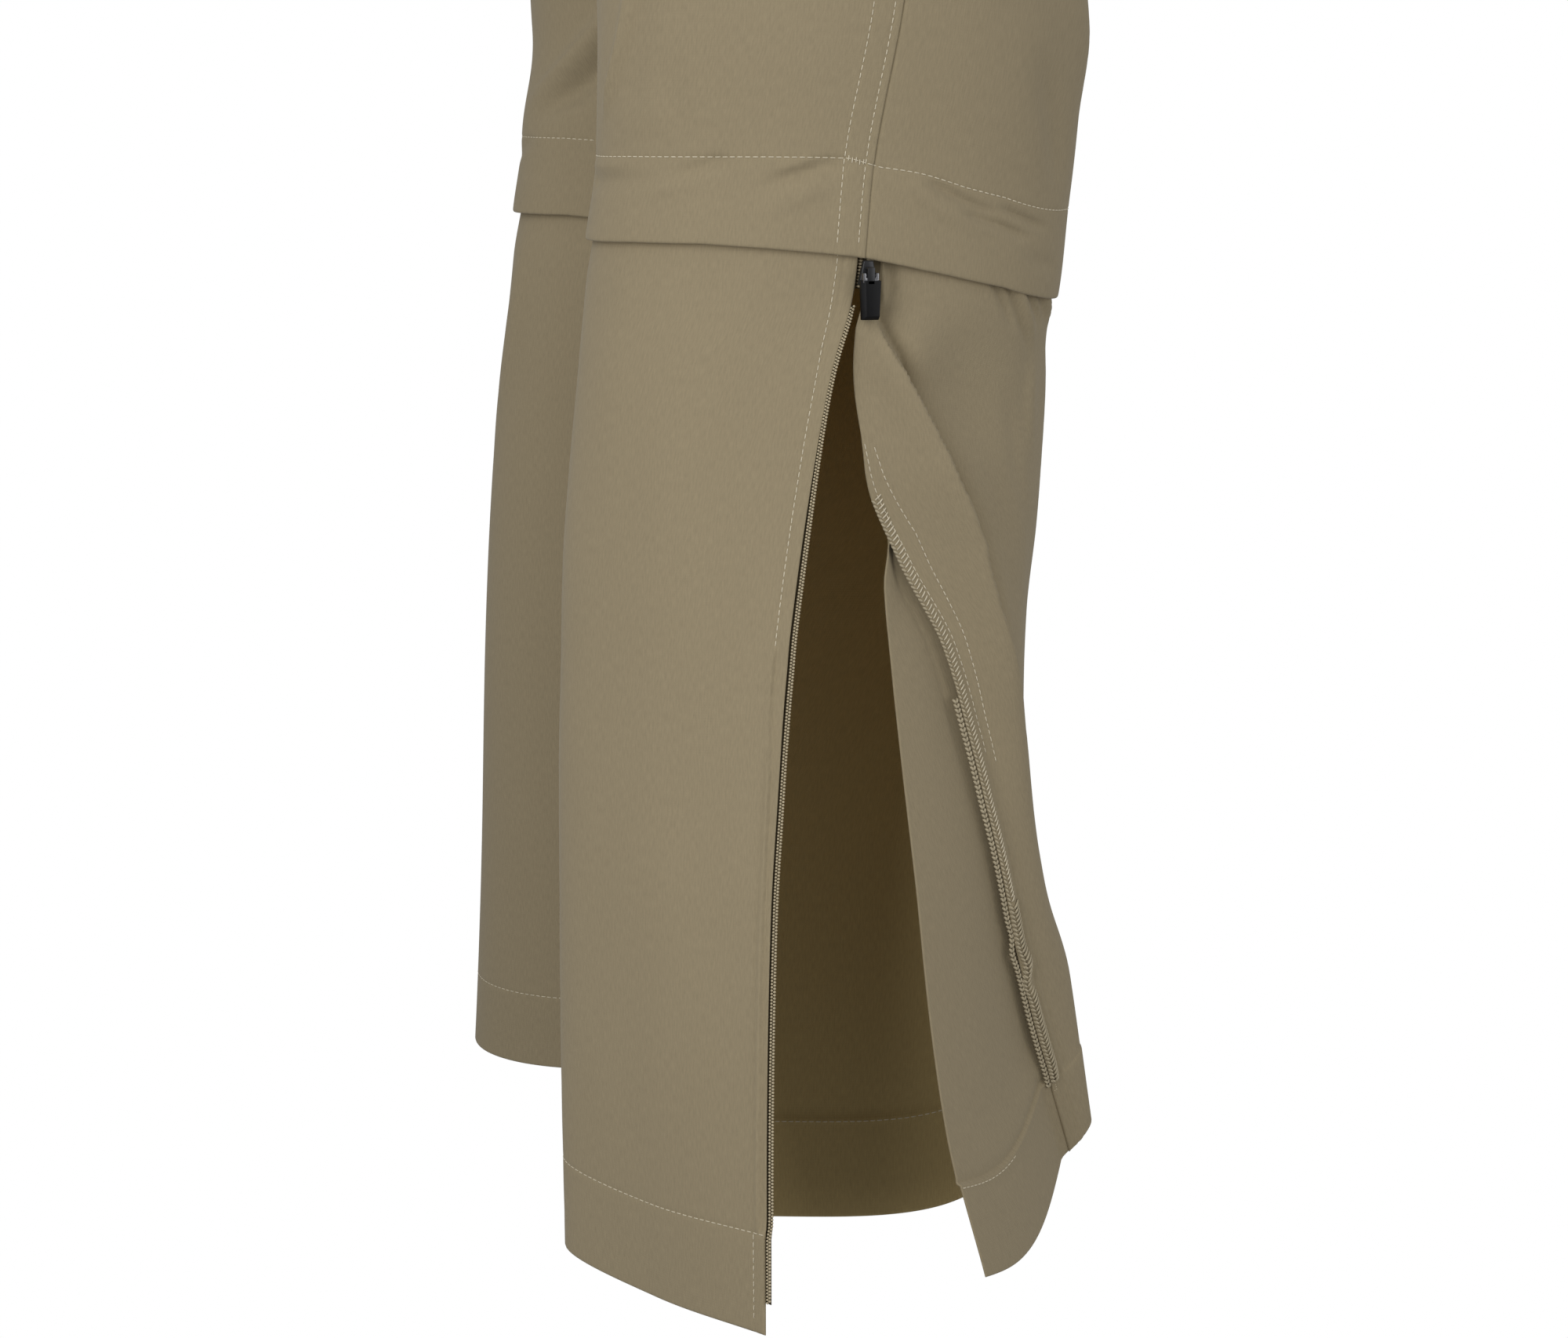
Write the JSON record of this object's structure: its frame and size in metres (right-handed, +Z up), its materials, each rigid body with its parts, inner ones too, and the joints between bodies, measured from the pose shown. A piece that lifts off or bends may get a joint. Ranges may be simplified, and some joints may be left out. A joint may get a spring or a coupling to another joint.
{
  "type": "hiking trousers",
  "caption": "Long hiking trousers with zip-off lower legs, a flap over each knee zip, and side zips from knee to hem, one of them opened over an underlap.",
  "frame": {"origin": "middle of the waist opening, halfway up the waistband", "axes": "+Z up, towards the waist opening; the front faces -Y; +X is the wearer's left side"},
  "size_m": [0.453, 0.265, 1.0357],
  "materials": {
    "cloth": "fine plain stretch weave, matt, olive brown",
    "zip": "woven tape and nylon coil, matt, dark olive brown",
    "slider": "dark grey, satin",
    "pull": "black, satin",
    "button": "dark brown, satin"
  },
  "bodies": {
    "garment": {"waistband": "cloth", "fly_shield": "cloth", "front_thigh_left": "cloth", "back_thigh_left": "cloth", "front_thigh_right": "cloth", "back_thigh_right": "cloth", "knee_flap_front_left": "cloth", "knee_flap_back_left": "cloth", "knee_flap_front_right": "cloth", "knee_flap_back_right": "cloth", "shin_left": "cloth", "calf_left": "cloth", "shin_right": "cloth", "calf_right": "cloth", "underlap_left": "cloth", "knee_zip_left": "zip", "knee_zip_right": "zip", "side_zip_front_left": "zip", "side_zip_rear_left": "zip", "side_zip_top_left": "zip", "side_zip_right": "zip", "slider_left": "slider", "slider_right": "slider", "waist_button": "button"},
    "pull_left": {"pull_left": "pull"},
    "pull_right": {"pull_right": "pull"}
  },
  "joints": [
    {"name": "pull_left_swing", "type": "hinge", "parent": "garment", "child": "pull_left", "pos_m": [0.16395, 0.0042, -0.5985], "axis": [0, -1, 0], "range_deg": [0, 90]},
    {"name": "pull_right_swing", "type": "hinge", "parent": "garment", "child": "pull_right", "pos_m": [-0.20412, -0.036, -0.988], "axis": [0, 1, 0], "range_deg": [0, 90]}
  ]
}
